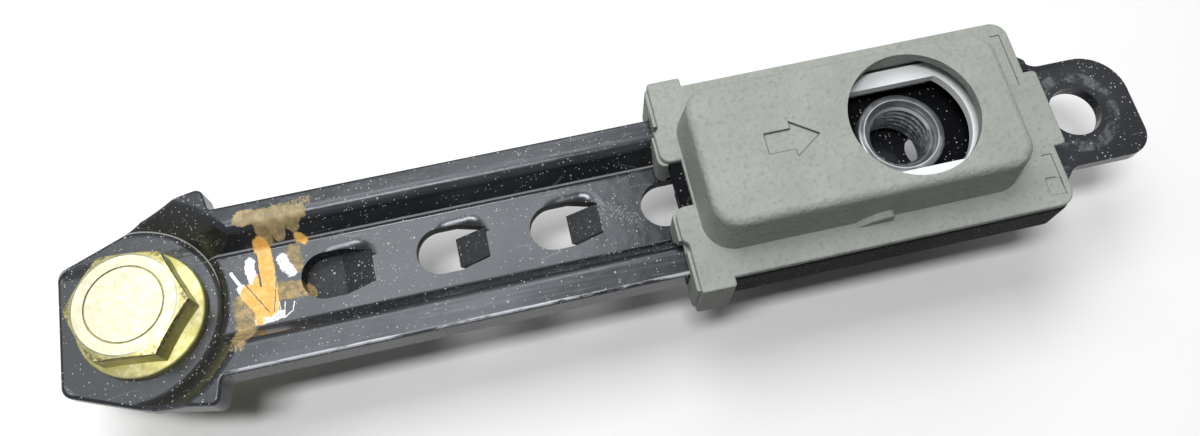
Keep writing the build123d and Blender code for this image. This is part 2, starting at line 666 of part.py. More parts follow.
with BuildPart() as slider_cover:
    with BuildSketch(Plane.XY.offset(PLATE_TOP)) as flange:
        with Locations(((GAP_EDGE + COVER_RIGHT) / 2, 0)):
            Rectangle(COVER_RIGHT - GAP_EDGE, 2 * COVER_HALF)
        fillet(flange.vertices().group_by(Axis.X)[-1], 2.8)
        for side in (1, -1):
            with BuildLine():
                Polyline(
                    (BULGE_LEFT, side * WING_IN),
                    (BULGE_LEFT, side * BULGE_HALF),
                    (WING_LEFT, side * (BULGE_HALF + 0.9)),
                    (WING_LEFT, side * WING_HALF),
                    (WING_RIGHT, side * WING_HALF),
                    (WING_RIGHT, side * WING_IN),
                    close=True,
                )
            make_face()
        for side in (1, -1):
            fillet(corner(flange, BULGE_LEFT, side * WING_IN), 1.8)
            fillet(corner(flange, BULGE_LEFT, side * BULGE_HALF), 0.9)
            fillet(corner(flange, WING_LEFT, side * (BULGE_HALF + 0.9)), 0.7)
            fillet(corner(flange, WING_LEFT, side * WING_HALF), 0.5)
            fillet(corner(flange, WING_RIGHT, side * WING_HALF), 0.5)
        with Locations(((COVER_RIGHT + TONGUE_END) / 2 - 1, 0)):
            Rectangle(TONGUE_END - COVER_RIGHT + 2, 2 * COVER_TONGUE_HALF)
        fillet(flange.vertices().group_by(Axis.X)[-1], 0.8)
    extrude(amount=FLANGE_TOP - PLATE_TOP)
    with BuildSketch(Plane.XY.offset(PLATE_TOP + 0.3)) as skirts:
        for side in (1, -1):
            with Locations(((WING_LEFT + WING_RIGHT) / 2, side * (WING_HALF - SKIRT_THICK / 2))):
                Rectangle(WING_RIGHT - WING_LEFT, SKIRT_THICK)
        for side in (1, -1):
            fillet(corner(skirts, WING_LEFT, side * WING_HALF), 0.5)
            fillet(corner(skirts, WING_RIGHT, side * WING_HALF), 0.5)
    extrude(amount=HOOK_BOTTOM + 0.1 - PLATE_TOP - 0.3)
    fillet(slider_cover.faces().sort_by(Axis.Z)[-1].edges(), 0.35)
    # A lip under the upper tongue hooks over the bracket's end.
    with BuildSketch(Plane.XY.offset(PLATE_TOP - COVER_LIP)):
        with Locations(((BRACKET_RIGHT + TONGUE_END) / 2 + 0.3, 0)):
            Rectangle(TONGUE_END - BRACKET_RIGHT - 0.6, 2 * COVER_TONGUE_HALF - 2)
    extrude(amount=COVER_LIP + 0.2)
    with BuildSketch(Plane.XY.offset(PLATE_TOP)):
        with Locations((BLOCK_MID, 0)):
            RectangleRounded(BLOCK_LENGTH + 2 * SHIFT, 2 * BLOCK_HALF + 2 * SHIFT, BLOCK_CORNER_R)
    extrude(amount=BLOCK_TOP - PLATE_TOP, taper=BLOCK_DRAFT)
    fillet(slider_cover.faces().sort_by(Axis.Z)[-1].edges(), 1.5)
    add(boss.part)
    with BuildSketch(Plane.XY.offset(PLATE_TOP - 0.5)):
        inset = 2 * (COVER_WALL - SHIFT)
        with Locations((BLOCK_MID, 0)):
            RectangleRounded(BLOCK_LENGTH - inset, 2 * BLOCK_HALF - inset, BLOCK_CORNER_R - 1.4)
    extrude(amount=ROOF_UNDER - PLATE_TOP + 0.5, taper=BLOCK_DRAFT, mode=Mode.SUBTRACT)
    with BuildSketch(Plane.XY.offset(ROOF_UNDER)):
        for side in (1, -1):
            with Locations(((GUIDE_LEFT + GUIDE_RIGHT) / 2, side * GUIDE_Y)):
                Rectangle(GUIDE_RIGHT - GUIDE_LEFT, GUIDE_THICK)
    extrude(amount=-(ROOF_UNDER - SLIDE_TOP - 0.15))
    with BuildSketch(Plane.XY.offset(ROOF_UNDER)):
        with Locations((SPRING_X, 0)):
            Circle(SPIGOT_R)
    extrude(amount=-SPIGOT_LONG)
    # Snap legs through the plate, with barbs under it.
    for x, outward in zip(CLIP_X, (-1, 1)):
        for y in (-CLIP_Y, CLIP_Y):
            with BuildSketch(Plane.XZ.offset(-y)):
                with BuildLine():
                    Polyline(
                        (x - outward * CLIP_THICK / 2, PLATE_TOP + 0.6),
                        (x + outward * CLIP_THICK / 2, PLATE_TOP + 0.6),
                        (x + outward * CLIP_THICK / 2, PLATE_LOW - GAP),
                        (x + outward * (CLIP_THICK / 2 + CLIP_BARB), PLATE_LOW - GAP),
                        (x + outward * 0.1, CLIP_END),
                        (x - outward * CLIP_THICK / 2, CLIP_END),
                        close=True,
                    )
                make_face()
            extrude(amount=CLIP_WIDE / 2, both=True)
    with Locations((NUT_X, 0, BLOCK_TOP)):
        Hole(WINDOW_OPEN_R, depth=4)
    with BuildSketch(Plane.XY.offset(BLOCK_TOP)):
        with BuildLine():
            Polyline(
                (ARROW_LEFT, -ARROW_SHAFT_HALF),
                (ARROW_NECK, -ARROW_SHAFT_HALF),
                (ARROW_NECK, -ARROW_HEAD_HALF),
                (ARROW_POINT, 0),
                (ARROW_NECK, ARROW_HEAD_HALF),
                (ARROW_NECK, ARROW_SHAFT_HALF),
                (ARROW_LEFT, ARROW_SHAFT_HALF),
                close=True,
            )
        make_face()
    extrude(amount=-ARROW_DEEP, mode=Mode.SUBTRACT)
    # Shut lines of two small inserts at the upper end.
    with BuildSketch(Plane.XY.offset(FLANGE_TOP)):
        with Locations((149.4, 14.65), (149.75, -8.3), (148.9, -12.3)):
            Rectangle(1.75, SHUT_LINE_WIDE)
        with Locations((150.15, 9.775)):
            Rectangle(SHUT_LINE_WIDE, 10.0)
        with Locations((150.5, -11.8)):
            Rectangle(SHUT_LINE_WIDE, 7.25)
    extrude(amount=-SHUT_LINE_DEEP, mode=Mode.SUBTRACT)
save(slider_cover, "slider_cover")

# Release slide: a white tray over the anchor, with two wedge arms to the latch.
ARM_TIP = 103.9
ARM_RAMP = ARM_TIP - 0.2
ARM_TOP = 14.8
ARM_Y = 5.6
ARM_HALF = 1.3
TRAY_LEFT = 112.5
ARM_STEP = TRAY_LEFT + 0.9
ARM_ROOT = 116.2
SKIRT_MID = 126.2
SKIRT_LONG = 18.4
SKIRT_WALL = 1.2
SKIRT_LOW = PLATE_TOP + 0.1

with BuildPart() as release_slide:
    with BuildSketch(Plane.XY.offset(SLIDE_LOW)):
        with Locations(((TRAY_LEFT + SLIDE_RIGHT) / 2, 0)):
            RectangleRounded(SLIDE_RIGHT - TRAY_LEFT, 2 * SLIDE_HALF, 4.0)
    extrude(amount=SLIDE_TOP - SLIDE_LOW)
    with BuildSketch(Plane.XY.offset(SKIRT_LOW)):
        with GridLocations(0, 2 * SLIDE_HALF - SKIRT_WALL, 1, 2):
            with Locations((SKIRT_MID, 0)):
                Rectangle(SKIRT_LONG, SKIRT_WALL)
    extrude(amount=SLIDE_TOP - SKIRT_LOW - 0.5)
    with BuildSketch(Plane.XY.offset(SLIDE_LOW - 1)) as slide_opening:
        with Locations((NUT_X, 0)):
            Circle(WINDOW_OPEN_R)
            Rectangle(30, 2 * SLIDE_SLOT_HALF, mode=Mode.INTERSECT)
    extrude(amount=4, mode=Mode.SUBTRACT)
    for side in (1, -1):
        with BuildSketch(Plane.XZ.offset(-side * ARM_Y)):
            with BuildLine():
                Polyline(
                    (ARM_TIP, SKIRT_LOW),
                    (ARM_TIP, SKIRT_LOW - 0.1 + ARM_TIP - ARM_RAMP),
                    (ARM_RAMP + ARM_TOP - SKIRT_LOW + 0.1, ARM_TOP),
                    (ARM_STEP, ARM_TOP),
                    (ARM_STEP, SLIDE_TOP),
                    (ARM_ROOT, SLIDE_TOP),
                    (ARM_ROOT, SKIRT_LOW),
                    close=True,
                )
            make_face()
        extrude(amount=ARM_HALF, both=True)
save(release_slide, "release_slide")

# Latch: a round-nosed plunger, stepped above the nose, with a cross bar that
# rides on the wedges. The nose's upper edge is bevelled to climb the ramps.
with BuildPart() as latch:
    with BuildSketch(Plane.XY.offset(LATCH_NOSE_Z)):
        add(plunger_outline(NOSE_X, NOSE_R, NOSE_RIGHT))
    extrude(amount=LATCH_STEP_Z - LATCH_NOSE_Z)
    chamfer(latch.edges().filter_by(Axis.Y).group_by(Axis.Z)[0], NOSE_BEVEL)
    with BuildSketch(Plane.XY.offset(LATCH_STEP_Z)):
        add(plunger_outline(LATCH_X, LATCH_R, LATCH_RIGHT))
    extrude(amount=LATCH_TOP - LATCH_STEP_Z)
    with BuildSketch(Plane.XZ.offset(-SHOULDER_HALF)):
        with BuildLine():
            Polyline(
                (BAR_LEFT, SHOULDER_Z),
                (BAR_RIGHT - BAR_RAMP, SHOULDER_Z),
                (BAR_RIGHT, SHOULDER_Z + BAR_RAMP),
                (BAR_RIGHT, LATCH_TOP),
                (BAR_LEFT, LATCH_TOP),
                close=True,
            )
        make_face()
    extrude(amount=2 * SHOULDER_HALF)
    with BuildSketch(Plane.XY.offset(LATCH_TOP)):
        with Locations((SPRING_X, 0)):
            Circle(POCKET_R)
    extrude(amount=POCKET_FLOOR - LATCH_TOP, mode=Mode.SUBTRACT)
save(latch, "latch")

# Latch spring: an open coil between the plunger's pocket and the cover's roof.
WIRE_R = 0.3
COIL_R = 1.6
SPRING_LOW = POCKET_FLOOR + WIRE_R + GAP
SPRING_HIGH = ROOF_UNDER - WIRE_R - GAP
SPRING_LONG = SPRING_HIGH - SPRING_LOW
COIL_TURNS = 6

with BuildPart() as latch_spring:
    with BuildLine(Plane.XY.offset(SPRING_LOW)) as coil:
        Helix(SPRING_LONG / COIL_TURNS, SPRING_LONG, COIL_R, center=(SPRING_X, 0, 0))
    with BuildSketch(Plane(coil.line @ 0, z_dir=coil.line % 0)):
        Circle(WIRE_R)
    sweep(path=coil.line, is_frenet=True)
save(latch_spring, "latch_spring")
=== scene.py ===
import math

import bmesh
import bpy
from mathutils import Matrix, Vector


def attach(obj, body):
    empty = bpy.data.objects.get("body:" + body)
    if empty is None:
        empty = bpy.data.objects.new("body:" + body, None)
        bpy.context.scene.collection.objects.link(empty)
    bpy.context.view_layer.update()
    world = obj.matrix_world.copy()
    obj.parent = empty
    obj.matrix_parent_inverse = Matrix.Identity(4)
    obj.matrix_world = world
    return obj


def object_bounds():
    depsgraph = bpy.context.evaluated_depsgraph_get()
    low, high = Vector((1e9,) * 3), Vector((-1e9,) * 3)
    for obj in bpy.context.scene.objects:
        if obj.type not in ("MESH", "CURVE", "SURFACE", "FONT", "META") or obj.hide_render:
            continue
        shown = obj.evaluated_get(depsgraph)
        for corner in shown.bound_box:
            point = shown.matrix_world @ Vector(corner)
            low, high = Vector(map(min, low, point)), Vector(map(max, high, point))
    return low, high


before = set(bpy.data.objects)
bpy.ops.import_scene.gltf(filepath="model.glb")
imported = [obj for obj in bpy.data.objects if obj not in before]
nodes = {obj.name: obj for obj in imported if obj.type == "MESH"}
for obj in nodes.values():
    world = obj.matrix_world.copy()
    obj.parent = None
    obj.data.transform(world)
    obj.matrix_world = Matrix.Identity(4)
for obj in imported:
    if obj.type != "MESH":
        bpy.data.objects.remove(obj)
cad_low, cad_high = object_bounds()

# Camera: a close view from above the lower end, standing on the near side.
# Its place and turn were worked out from the rail's straight lines, the round
# holes and the hexagon in the photograph.
view_right = Vector((0.97577, -0.21880, -0.00174))
view_up = Vector((0.20533, 0.91292, 0.35272))
view_back = Vector((-0.07558, -0.34453, 0.93573))
camera_data = bpy.data.cameras.new("camera")
camera_data.lens = 29.76
camera_data.sensor_width = 36.0
camera_data.clip_start = 0.01
camera = bpy.data.objects.new("camera", camera_data)
turn = Matrix((view_right, view_up, view_back)).transposed().to_4x4()
camera.matrix_world = Matrix.Translation((0.06407, -0.05774, 0.16069)) @ turn
bpy.context.collection.objects.link(camera)
bpy.context.scene.camera = camera
bpy.context.scene.view_settings.view_transform = "Standard"


# Table and light: a white table in a light tent. A wide soft lamp over the far
# side lights the web, and a long narrow one draws the bright line on the far rib.
# Each lamp has its place, the point it looks at, its size in metres and its watts.
def area_lamp(name, place, target, size, watts):
    data = bpy.data.lights.new(name, "AREA")
    data.shape = "RECTANGLE"
    data.size, data.size_y = size
    data.energy = watts
    lamp = bpy.data.objects.new(name, data)
    lamp.location = place
    aim = Vector(target) - Vector(place)
    lamp.rotation_euler = aim.to_track_quat("-Z", "Y").to_euler()
    bpy.context.collection.objects.link(lamp)


def seen_by(tree, *rays):
    """A mask that is 1 for the named kinds of ray and 0 for all others."""
    path = tree.nodes.new("ShaderNodeLightPath")
    mask = path.outputs[rays[0]]
    for ray in rays[1:]:
        most = tree.nodes.new("ShaderNodeMath")
        most.operation = "MAXIMUM"
        tree.links.new(mask, most.inputs[0])
        tree.links.new(path.outputs[ray], most.inputs[1])
        mask = most.outputs[0]
    return mask


area_lamp("tent_top", (-0.02, 0.22, 0.55), (-0.02, 0.22, 0.0), (0.31, 0.30), 1.7)
area_lamp("tent_left", (-0.27, 0.22, 0.55), (-0.27, 0.22, 0.0), (0.18, 0.30), 0.4)
area_lamp("tent_strip", (-0.03, -0.075, 0.60), (-0.03, -0.075, 0.0), (0.24, 0.08), 2.1)
area_lamp("tent_far", (0.26, 0.48, 0.50), (0.14, 0.0, 0.0), (0.60, 0.25), 1.2)

# The tent's wall and the table look pale to the camera and in reflections, but
# throw only a little light on the object.
TENT_GLOW = 0.07
TENT_WALL = 0.65
TABLE_WHITE = 0.97
TABLE_BOUNCE = 0.08
TABLE_HALF = 1.2
TABLE_MIDDLE_X = 0.08
TABLE_CLEARANCE = 0.0004
PALE_RAYS = ("Is Camera Ray", "Is Glossy Ray", "Is Transmission Ray")
MIX_A, MIX_B, MIX_RESULT = 6, 7, 2

world = bpy.data.worlds.new("tent")
bpy.context.scene.world = world
world.use_nodes = True
tent = world.node_tree
tent_wall = tent.nodes["Background"]
tent_wall.inputs["Color"].default_value = (1.0, 1.0, 1.0, 1.0)
tent_level = tent.nodes.new("ShaderNodeMapRange")
tent.links.new(seen_by(tent, *PALE_RAYS), tent_level.inputs["Value"])
tent_level.inputs["To Min"].default_value = TENT_GLOW
tent_level.inputs["To Max"].default_value = TENT_WALL
tent.links.new(tent_level.outputs[0], tent_wall.inputs["Strength"])

table_mesh = bpy.data.meshes.new("table")
shape = bmesh.new()
bmesh.ops.create_grid(shape, x_segments=1, y_segments=1, size=TABLE_HALF)
table_top = cad_low[2] - TABLE_CLEARANCE
bmesh.ops.translate(shape, vec=(TABLE_MIDDLE_X, 0.0, table_top), verts=shape.verts)
shape.to_mesh(table_mesh)
shape.free()
table = bpy.data.objects.new("table", table_mesh)
bpy.context.collection.objects.link(table)
table_mat = bpy.data.materials.new("table_white")
table_mat.use_nodes = True
table_tree = table_mat.node_tree
table_shader = table_tree.nodes["Principled BSDF"]
table_shader.inputs["Roughness"].default_value = 0.9
table_shader.inputs["Specular IOR Level"].default_value = 0.0
table_color = table_tree.nodes.new("ShaderNodeMix")
table_color.data_type = "RGBA"
table_color.inputs[MIX_A].default_value = (TABLE_BOUNCE, TABLE_BOUNCE, TABLE_BOUNCE, 1.0)
table_color.inputs[MIX_B].default_value = (TABLE_WHITE, TABLE_WHITE, TABLE_WHITE, 1.0)
table_tree.links.new(seen_by(table_tree, *PALE_RAYS), table_color.inputs[0])
table_tree.links.new(table_color.outputs[MIX_RESULT], table_shader.inputs["Base Color"])
table_mesh.materials.append(table_mat)


# Materials: the object's surfaces are built with this class, from places in mm.
MM_PER_M = 1000.0


class Finish:
    """One material of the object, with its Principled shader at hand."""

    def __init__(self, name, rough=0.5, metal=0.0, color=(0.5, 0.5, 0.5)):
        self.mat = bpy.data.materials.new(name)
        self.mat.use_nodes = True
        self.tree = self.mat.node_tree
        self.shader = self.tree.nodes["Principled BSDF"]
        self.shader.inputs["Roughness"].default_value = rough
        self.shader.inputs["Metallic"].default_value = metal
        self.shader.inputs["Base Color"].default_value = (*color, 1.0)
        coord = self.tree.nodes.new("ShaderNodeTexCoord")
        self.place = coord.outputs["Object"]
        split = self.tree.nodes.new("ShaderNodeSeparateXYZ")
        self.tree.links.new(self.place, split.inputs[0])
        self.x, self.y, self.z = (
            self.math("MULTIPLY", axis, MM_PER_M) for axis in split.outputs
        )
        self.body = color
        self.rough = rough

    def node(self, kind, **values):
        made = self.tree.nodes.new(kind)
        for key, value in values.items():
            setattr(made, key, value)
        return made

    def feed(self, target, value):
        if isinstance(value, bpy.types.NodeSocket):
            self.tree.links.new(value, target)
        elif isinstance(value, tuple) and target.type == "RGBA":
            target.default_value = (*value, 1.0)
        else:
            target.default_value = value

    def math(self, operation, a, b=0.0):
        made = self.node("ShaderNodeMath", operation=operation)
        self.feed(made.inputs[0], a)
        self.feed(made.inputs[1], b)
        return made.outputs[0]

    def mix(self, factor, a, b):
        made = self.node("ShaderNodeMix", data_type="RGBA")
        self.feed(made.inputs[0], factor)
        self.feed(made.inputs[MIX_A], a)
        self.feed(made.inputs[MIX_B], b)
        return made.outputs[MIX_RESULT]

    def noise(self, scale, detail=3.0, rough=0.5, stretch=None):
        made = self.node("ShaderNodeTexNoise")
        made.inputs["Scale"].default_value = scale
        made.inputs["Detail"].default_value = detail
        made.inputs["Roughness"].default_value = rough
        place = self.place
        if stretch:
            turned = self.node("ShaderNodeMapping")
            turned.inputs["Scale"].default_value = stretch
            self.tree.links.new(self.place, turned.inputs["Vector"])
            place = turned.outputs[0]
        self.tree.links.new(place, made.inputs["Vector"])
        return made.outputs["Fac"]

    def ramp(self, value, low, high, out_low=0.0, out_high=1.0):
        made = self.node("ShaderNodeMapRange", interpolation_type="SMOOTHSTEP")
        self.feed(made.inputs["Value"], value)
        made.inputs["From Min"].default_value = low
        made.inputs["From Max"].default_value = high
        made.inputs["To Min"].default_value = out_low
        made.inputs["To Max"].default_value = out_high
        return made.outputs[0]

    def group(self, tree, **values):
        made = self.node("ShaderNodeGroup", node_tree=tree)
        self.tree.links.new(self.place, made.inputs["Place"])
        for key, value in values.items():
            self.feed(made.inputs[key.replace("_", " ")], value)
        return made.outputs[0]

    def bump(self, height, distance, strength=1.0, normal=None):
        made = self.node("ShaderNodeBump")
        made.inputs["Strength"].default_value = strength
        made.inputs["Distance"].default_value = distance
        self.feed(made.inputs["Height"], height)
        if normal is not None:
            self.tree.links.new(normal, made.inputs["Normal"])
        return made.outputs[0]

    def stroke(self, start, end, half, soft=0.25, ragged=0.3, dry=0.0, fade=False):
        made = self.node("ShaderNodeGroup", node_tree=brush)
        self.tree.links.new(self.place, made.inputs["Place"])
        made.inputs["Start"].default_value = (*start, 0.0)
        made.inputs["End"].default_value = (*end, 0.0)
        for key, value in (("Half", half), ("Soft", soft), ("Ragged", ragged), ("Dry", dry)):
            made.inputs[key].default_value = value
        return made.outputs["Fade" if fade else "Mask"]

    def ring(self, centre_x):
        along = self.math("SUBTRACT", self.x, centre_x)
        squares = self.math("ADD", self.math("POWER", along, 2.0), self.math("POWER", self.y, 2.0))
        return self.math("SQRT", squares)

    def band(self, value, middle, half, soft):
        away = self.math("ABSOLUTE", self.math("SUBTRACT", value, middle))
        return self.ramp(away, half, half + soft, 1.0, 0.0)

    def all_of(self, *masks):
        joined = masks[0]
        for mask in masks[1:]:
            joined = self.math("MULTIPLY", joined, mask)
        return joined

    def most_of(self, *masks):
        joined = masks[0]
        for mask in masks[1:]:
            joined = self.math("MAXIMUM", joined, mask)
        return joined

    def set(self, name, value):
        self.feed(self.shader.inputs[name], value)

    def paint(self, mask, color, share=1.0):
        """Lay a colour over the body where the mask is, in full or in part."""
        if share != 1.0:
            mask = self.math("MULTIPLY", mask, share)
        self.body = self.mix(mask, self.body, color)

    def roughen(self, mask, amount):
        self.rough = self.math("ADD", self.rough, self.math("MULTIPLY", mask, amount))

    def cloud(self, mask, low, high, colors, smooth, dull):
        """Base Color and Roughness that both drift with one noise."""
        self.set("Base Color", self.mix(self.ramp(mask, low, high), *colors))
        self.set("Roughness", self.ramp(mask, 0.3, 0.7, smooth, dull))


def new_group(name, inputs):
    tree = bpy.data.node_groups.new(name, "ShaderNodeTree")
    tree.interface.new_socket("Place", in_out="INPUT", socket_type="NodeSocketVector")
    for label, value in inputs.items():
        kind = "NodeSocketVector" if isinstance(value, tuple) else "NodeSocketFloat"
        socket = tree.interface.new_socket(label, in_out="INPUT", socket_type=kind)
        socket.default_value = value
    tree.interface.new_socket("Mask", in_out="OUTPUT", socket_type="NodeSocketFloat")
    return tree, tree.nodes.new("NodeGroupInput"), tree.nodes.new("NodeGroupOutput")


def wire(tree, kind, operation=None, *values):
    made = tree.nodes.new(kind)
    if operation:
        made.operation = operation
    for socket, value in zip(made.inputs, values):
        if isinstance(value, bpy.types.NodeSocket):
            tree.links.new(value, socket)
        elif value is not None:
            socket.default_value = value
    return made


# Dust: round pale specks of many sizes, thicker in some patches than in others.
dust, entry, leave = new_group("dust_specks", {"Scale": 900.0, "Size": 0.2, "Amount": 0.5})
cells = dust.nodes.new("ShaderNodeTexVoronoi")
dust.links.new(entry.outputs["Place"], cells.inputs["Vector"])
dust.links.new(entry.outputs["Scale"], cells.inputs["Scale"])
pick = wire(dust, "ShaderNodeSeparateColor", None, cells.outputs["Color"])
patch = dust.nodes.new("ShaderNodeTexNoise")
patch.inputs["Scale"].default_value = 90.0
patch.inputs["Detail"].default_value = 4.0
dust.links.new(entry.outputs["Place"], patch.inputs["Vector"])
chance = wire(dust, "ShaderNodeMath", "MULTIPLY", patch.outputs["Fac"], entry.outputs["Amount"])
kept = wire(dust, "ShaderNodeMath", "LESS_THAN", pick.outputs[0], chance.outputs[0])
reach = wire(dust, "ShaderNodeMath", "MULTIPLY", pick.outputs[1], entry.outputs["Size"])
near = wire(dust, "ShaderNodeMath", "LESS_THAN", cells.outputs["Distance"], reach.outputs[0])
speck = wire(dust, "ShaderNodeMath", "MULTIPLY", kept.outputs[0], near.outputs[0])
dust.links.new(speck.outputs[0], leave.inputs["Mask"])

# Scratches: thin broken lines that run mostly along the part.
scratch, entry, leave = new_group(
    "fine_scratches", {"Scale": 120.0, "Width": 0.02, "Amount": 0.5}
)
bend = scratch.nodes.new("ShaderNodeTexNoise")
bend.inputs["Scale"].default_value = 60.0
scratch.links.new(entry.outputs["Place"], bend.inputs["Vector"])
offset = wire(scratch, "ShaderNodeVectorMath", "SCALE", bend.outputs["Color"])
offset.inputs["Scale"].default_value = 0.006
moved = wire(scratch, "ShaderNodeVectorMath", "ADD", entry.outputs["Place"], offset.outputs[0])
flat = wire(scratch, "ShaderNodeVectorMath", "MULTIPLY", moved.outputs[0], (0.25, 1.0, 1.0))
lines = scratch.nodes.new("ShaderNodeTexVoronoi")
lines.feature = "DISTANCE_TO_EDGE"
scratch.links.new(flat.outputs[0], lines.inputs["Vector"])
scratch.links.new(entry.outputs["Scale"], lines.inputs["Scale"])
thin = wire(
    scratch, "ShaderNodeMath", "LESS_THAN", lines.outputs["Distance"], entry.outputs["Width"]
)
breaks = scratch.nodes.new("ShaderNodeTexNoise")
breaks.inputs["Scale"].default_value = 150.0
breaks.inputs["Detail"].default_value = 3.0
scratch.links.new(entry.outputs["Place"], breaks.inputs["Vector"])
shown = wire(scratch, "ShaderNodeMath", "LESS_THAN", breaks.outputs["Fac"], entry.outputs["Amount"])
line = wire(scratch, "ShaderNodeMath", "MULTIPLY", thin.outputs[0], shown.outputs[0])
scratch.links.new(line.outputs[0], leave.inputs["Mask"])

# Brush stroke: a soft-edged band from Start to End seen from above, in mm, with a
# ragged outline and, where it is dry, gaps in the colour.
brush, entry, leave = new_group(
    "brush_stroke",
    {
        "Start": (0.0, 0.0, 0.0),
        "End": (1.0, 0.0, 0.0),
        "Half": 1.0,
        "Soft": 0.3,
        "Ragged": 0.3,
        "Dry": 0.0,
    },
)
brush.interface.new_socket("Fade", in_out="OUTPUT", socket_type="NodeSocketFloat")
flatten = (MM_PER_M, MM_PER_M, 0.0)
level = wire(brush, "ShaderNodeVectorMath", "MULTIPLY", entry.outputs["Place"], flatten)
rag = brush.nodes.new("ShaderNodeTexNoise")
rag.inputs["Scale"].default_value = 1.3
rag.inputs["Detail"].default_value = 4.0
brush.links.new(level.outputs[0], rag.inputs["Vector"])
centred = wire(brush, "ShaderNodeVectorMath", "SUBTRACT", rag.outputs["Color"], (0.5, 0.5, 0.5))
pushed = wire(brush, "ShaderNodeVectorMath", "SCALE", centred.outputs[0])
doubled = wire(brush, "ShaderNodeMath", "MULTIPLY", entry.outputs["Ragged"], 4.0)
brush.links.new(doubled.outputs[0], pushed.inputs["Scale"])
shifted = wire(brush, "ShaderNodeVectorMath", "ADD", level.outputs[0], pushed.outputs[0])
along = wire(
    brush, "ShaderNodeVectorMath", "SUBTRACT", entry.outputs["End"], entry.outputs["Start"]
)
from_start = wire(
    brush, "ShaderNodeVectorMath", "SUBTRACT", shifted.outputs[0], entry.outputs["Start"]
)
across = wire(
    brush, "ShaderNodeVectorMath", "DOT_PRODUCT", from_start.outputs[0], along.outputs[0]
)
length = wire(
    brush, "ShaderNodeVectorMath", "DOT_PRODUCT", along.outputs[0], along.outputs[0]
)
share = wire(brush, "ShaderNodeMath", "DIVIDE", across.outputs["Value"], length.outputs["Value"])
share.use_clamp = True
foot = wire(brush, "ShaderNodeVectorMath", "SCALE", along.outputs[0])
brush.links.new(share.outputs[0], foot.inputs["Scale"])
gap = wire(brush, "ShaderNodeVectorMath", "SUBTRACT", from_start.outputs[0], foot.outputs[0])
away = wire(brush, "ShaderNodeVectorMath", "LENGTH", gap.outputs[0])
inner = wire(brush, "ShaderNodeMath", "SUBTRACT", entry.outputs["Half"], entry.outputs["Soft"])
outer = entry.outputs["Half"]
edge = wire(
    brush, "ShaderNodeMapRange", None, away.outputs["Value"], inner.outputs[0], outer, 1.0, 0.0
)
edge.interpolation_type = "SMOOTHSTEP"
hairs = brush.nodes.new("ShaderNodeTexNoise")
hairs.inputs["Scale"].default_value = 2.6
hairs.inputs["Detail"].default_value = 5.0
hairs.inputs["Roughness"].default_value = 0.7
brush.links.new(level.outputs[0], hairs.inputs["Vector"])
covers = wire(brush, "ShaderNodeMath", "GREATER_THAN", hairs.outputs["Fac"], entry.outputs["Dry"])
painted = wire(brush, "ShaderNodeMath", "MULTIPLY", edge.outputs[0], covers.outputs[0])
brush.links.new(painted.outputs[0], leave.inputs["Mask"])
plain = wire(brush, "ShaderNodeMapRange", None, away.outputs["Value"], 0.0, outer, 1.0, 0.0)
brush.links.new(plain.outputs[0], leave.inputs["Fade"])


# Black coat: a thick dip coating, a little wavy, with pale dust caught on it and
# fine scratches along it. Rail and bracket have it.
def black_coat(name, dust_amount, shine, smooth, dull):
    coat = Finish(name, rough=smooth, color=(0.010, 0.011, 0.013))
    cloud = coat.noise(55.0, 4.0, 0.6)
    coat.specks = coat.most_of(
        coat.group(dust, Scale=2400.0, Size=0.34, Amount=dust_amount),
        coat.group(dust, Scale=900.0, Size=0.19, Amount=coat.math("MULTIPLY", dust_amount, 0.45)),
    )
    lines = coat.group(scratch, Scale=140.0, Width=0.010, Amount=0.42)
    coat.body = coat.mix(
        coat.ramp(cloud, 0.35, 0.75), (0.008, 0.009, 0.011), (0.020, 0.021, 0.024)
    )
    coat.paint(lines, (0.16, 0.165, 0.17), 0.35)
    coat.rough = coat.ramp(cloud, 0.3, 0.8, smooth, dull)
    coat.wave = coat.bump(coat.noise(330.0, 2.0, 0.5), 0.00010, 0.5)
    coat.shader.inputs["Specular IOR Level"].default_value = shine
    coat.shader.inputs["Specular Tint"].default_value = (0.88, 0.94, 1.0, 1.0)
    return coat


def close_coat(coat):
    peel = coat.math("ADD", coat.noise(2200.0, 2.0, 0.6), coat.math("MULTIPLY", coat.specks, 2.0))
    coat.set("Normal", coat.bump(peel, 0.000012, 0.5, coat.wave))
    coat.paint(coat.specks, (0.55, 0.55, 0.54), 0.75)
    coat.set("Base Color", coat.body)
    coat.roughen(coat.specks, 0.4)
    coat.set("Roughness", coat.rough)


def dress(name, finish):
    for slot in nodes[name].material_slots:
        slot.material = finish.mat


# Rail: one pressed steel strip under the glossy black coat, with painted highlights along
# its near outer corner and far bend, and marked with daubs of old paint. Its places are in mm from
# the bolt's axis.
SEAT_X = -1.9
SEAT_FOOT_R = 14.9
TAB_HOLE_X = 160.6
TAB_WEAR_R = 6.6
NEAR_CORNER_Y = -13.85
FAR_BEND_Y = 7.05
WEB_TOP = 4.2
WINDOW_PITCH = 19.2
WINDOW_LEFT = [26.3 + WINDOW_PITCH * step for step in range(4)]

rail_coat = black_coat("rail_black_coat", 0.62, 0.5, 0.17, 0.34)


def daubs(*rows):
    """Strokes as start, end, half width, softness, raggedness and dryness."""
    return rail_coat.most_of(*[rail_coat.stroke(*row) for row in rows])


# The ribs' outer faces are rubbed lengthwise, in long pale streaks.
side = rail_coat.math("ABSOLUTE", rail_coat.y)
rib_top = rail_coat.ramp(side, 9.2, 10.2)
streaks = rail_coat.ramp(rail_coat.noise(900.0, 5.0, 0.7, (0.035, 1.0, 1.0)), 0.48, 0.66)
rubbed = rail_coat.all_of(rib_top, streaks, rail_coat.ramp(rail_coat.x, 15.0, 24.0))
rail_coat.paint(rubbed, (0.17, 0.18, 0.20), 0.30)
